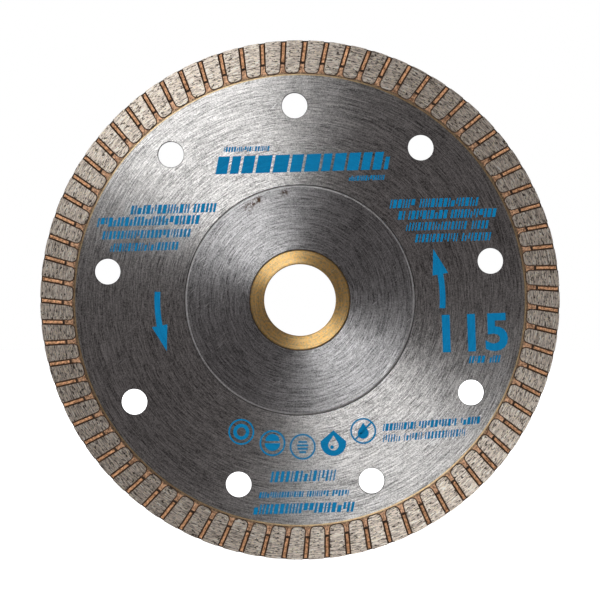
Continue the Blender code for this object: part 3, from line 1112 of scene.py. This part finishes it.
# %% Round marks
full_turn = 2 * math.pi
mark_centres = {
    "ring": (-13.0, -29.2),
    "halves": (-6.1, -31.7),
    "bars": (0.6, -32.5),
    "drop in a disc": (7.4, -31.7),
    "drop struck out": (14.0, -29.0),
}
for filling, centre in mark_centres.items():
    x, y = centre
    if filling == "drop in a disc":
        add_disc_round(drop_outline(centre, 1.15), centre, 2.85)
        add_band((x - 0.3, y - 0.9), 0.0, 0.42, 0.0, full_turn, 12)
        continue
    add_band(centre, 2.5, 2.88, 0.0, full_turn, 40)
    if filling == "ring":
        add_band(centre, 1.0, 1.8, 0.0, full_turn, 24)
    elif filling == "halves":
        add_band(centre, 0.0, 1.75, math.pi, full_turn, 12)
        add_band((x, y + 0.45), 0.0, 1.6, 0.0, math.pi, 12)
    elif filling == "bars":
        for rise, width in ((1.05, 1.9), (0.3, 2.5), (-0.45, 2.3), (-1.2, 1.5)):
            add_bar((x, y + rise), width, 0.42)
    else:
        add_prism(drop_outline(centre, 1.25))
        add_bar(centre, 5.1, 0.4, math.radians(47))
print("round marks:", ", ".join(mark_centres))

# %% [markdown]
# The size is a plain figure in Blender's own typeface. A text object is a curve, so it is made a mesh
# first and then put in its place.

# %% The size figure
figure = bpy.data.curves.new("size_figure", "FONT")
figure.body = "115"
figure.align_x = "CENTER"
figure.align_y = "CENTER"
figure.size = 11.2 * MM
# The offset swells the outline, which makes the typeface bold.
figure.offset = 0.34 * MM
figure.extrude = film_thickness / 2
figure.resolution_u = 4
drawing = bpy.data.objects.new("size_figure", figure)
bpy.context.scene.collection.objects.link(drawing)
graph = bpy.context.evaluated_depsgraph_get()
figure_mesh = bpy.data.meshes.new_from_object(drawing.evaluated_get(graph))
bpy.data.objects.remove(drawing)
figure_place = Matrix.Translation((38.0 * MM, -7.7 * MM, (film_high + film_low) / 2))
figure_mesh.transform(figure_place @ Matrix.Rotation(math.radians(2.0), 4, "Z"))
print_shape.from_mesh(figure_mesh)

# %% The print as one piece
printed = add_piece("blue_print", finish_mesh(print_shape, "blue_print", [ink]), "blade")

# %% [markdown]
# ## Setting
#
# The blade stands on a plain white floor in a white room. The floor and the room are seen by the
# camera only: in a mirror of brushed steel a white room would wash out the dark wedges, so reflections
# find a dim grey instead.

# %% Floor
floor_half = 2.0
floor_low = cad_box[0][2]
floor_mesh = bpy.data.meshes.new("floor")
floor_corners = [(-1, -1), (1, -1), (1, 1), (-1, 1)]
floor_places = [(x * floor_half, y * floor_half, floor_low) for x, y in floor_corners]
floor_mesh.from_pydata(floor_places, [], [(0, 1, 2, 3)])
floor = bpy.data.objects.new("floor", floor_mesh)
bpy.context.scene.collection.objects.link(floor)
floor_material, _, shader = new_material("floor_white", 0.9, metallic=0.0)
shader.inputs["Base Color"].default_value = (0.9, 0.9, 0.9, 1.0)
shader.inputs["Emission Color"].default_value = (1.0, 1.0, 1.0, 1.0)
shader.inputs["Emission Strength"].default_value = 1.1
floor_mesh.materials.append(floor_material)
floor.visible_glossy = False

# %% World
white_room = (1.0, 1.0, 1.0, 1.0)
dim_grey = (0.108, 0.0975, 0.0985, 1.0)
world = bpy.data.worlds.new("studio")
bpy.context.scene.world = world
world.use_nodes = True
tree = world.node_tree
seen = add_node(tree, "ShaderNodeLightPath").outputs["Is Camera Ray"]
room = tint(tree, seen, dim_grey, white_room)
tree.links.new(room, tree.nodes["Background"].inputs["Color"])
bpy.context.scene.view_settings.view_transform = "Standard"

# %% [markdown]
# ## Light
#
# One soft box faces the blade from high on the left. Metal that is brushed in rings shows it as two
# bright wedges, one towards the lamp and one away from it, and the width of the box sets the width of
# the wedges. Its light also throws the hub disc's thin shadow. A second box stands behind the blade,
# for the other face. Three narrow fills stand in the blade's own plane, to the right, above and to
# the left: they hardly touch the faces, and they light the outer edge and the walls of the holes.

# %% Soft boxes
lamp_distance = 1.2


def add_softbox(name, azimuth, tilt, width, height, watts, side=1):
    """azimuth runs round the face and tilt is from the line in front of it. side -1 is behind."""
    out = Vector((math.cos(azimuth), 0.0, math.sin(azimuth)))
    across = Vector((-math.sin(azimuth), 0.0, math.cos(azimuth)))
    direction = out * math.sin(tilt) + Vector((0.0, -side * math.cos(tilt), 0.0))
    light = bpy.data.lights.new(name, "AREA")
    light.shape = "RECTANGLE"
    light.size = width
    light.size_y = height
    light.energy = watts
    lamp = bpy.data.objects.new(name, light)
    bpy.context.scene.collection.objects.link(lamp)
    turn = Matrix((across, direction.cross(across), direction)).transposed().to_4x4()
    lamp.matrix_world = Matrix.Translation(direction * lamp_distance) @ turn


key_azimuth = math.radians(120.5)
key_tilt = math.radians(23.5)
for side, place in ((1, "front"), (-1, "rear")):
    add_softbox(place + "_key", key_azimuth, key_tilt, width=0.46, height=0.44, watts=4.0, side=side)

edge_on = math.radians(90.0)
for place, azimuth in (("right", 0.0), ("top", 90.0), ("left", 180.0)):
    add_softbox(place + "_fill", math.radians(azimuth), edge_on, width=0.5, height=0.12, watts=0.9)
print("lights:", *[lamp.name for lamp in bpy.data.lights])

# %% [markdown]
# ## Camera
#
# The blade is seen square on, as in a catalogue. A long lens flattens the view, and the camera's
# distance follows from how much of the picture's width the blade fills.

# %% Camera
camera_data = bpy.data.cameras.new("camera")
camera = bpy.data.objects.new("camera", camera_data)
bpy.context.scene.collection.objects.link(camera)
bpy.context.scene.camera = camera
camera_data.lens = 135.0
blade_share = 0.86417
view_width = 2 * rim_radius / blade_share
camera_distance = view_width * camera_data.lens / camera_data.sensor_width
camera.location = (0.0, -camera_distance, 0.0)
camera.rotation_euler = (math.pi / 2, 0.0, 0.0)
print("camera distance: %.3f m" % camera_distance)
